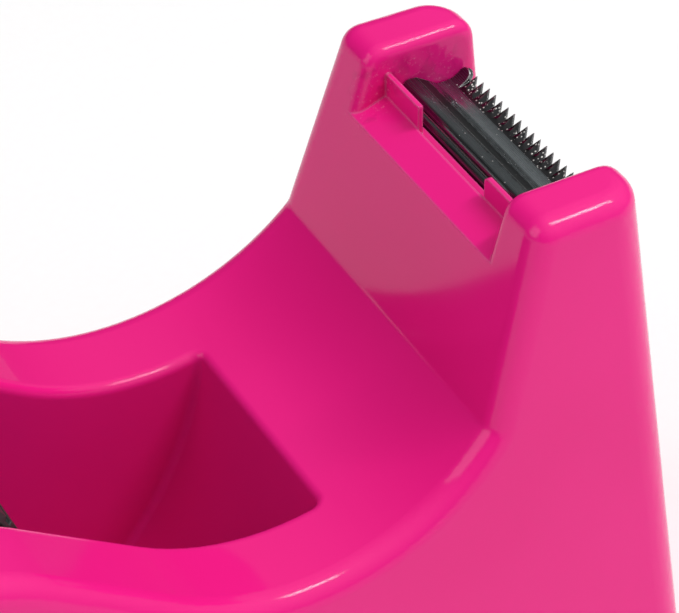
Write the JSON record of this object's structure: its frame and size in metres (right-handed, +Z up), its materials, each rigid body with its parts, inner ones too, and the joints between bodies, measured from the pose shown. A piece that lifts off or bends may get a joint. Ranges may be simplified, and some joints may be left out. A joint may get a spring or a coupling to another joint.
{
  "type": "tape dispenser",
  "caption": "Weighted desktop tape dispenser with a curved glossy plastic casing, lift-out spinning tape hub and toothed steel cutter.",
  "frame": {"origin": "middle of the length and width, on the surface that the pad stands on", "axes": "+X towards the cutter, +Y across the tape along the hub's axle, +Z up"},
  "size_m": [0.137, 0.0566, 0.0744],
  "materials": {
    "shell_plastic": "glossy hot pink",
    "blade_steel": "dark bright-plated spring steel",
    "axle_steel": "turned",
    "hub_plastic": "satin black",
    "base_plastic": "fine matt texture",
    "screw_steel": "zinc plated",
    "pad_foam": "closed-cell foam",
    "ballast_iron": "rough cast"
  },
  "bodies": {
    "casing": {"body_shell": "shell_plastic", "cutter_blade": "blade_steel", "base_plate": "base_plastic", "base_screws": "screw_steel", "non_slip_pad": "pad_foam", "ballast_front": "ballast_iron", "ballast_rear": "ballast_iron"},
    "axle": {"hub_axle": "axle_steel"},
    "hub": {"hub_drum": "hub_plastic", "hub_cap": "hub_plastic"}
  },
  "joints": [
    {"name": "axle_lift", "type": "slide", "parent": "casing", "child": "axle", "axis": [0, 0, 1], "range_m": [0, 0.055]},
    {"name": "hub_spin", "type": "hinge", "parent": "axle", "child": "hub", "pos_m": [-0.01, 0, 0.0494], "axis": [0, 1, 0], "continuous": true}
  ]
}
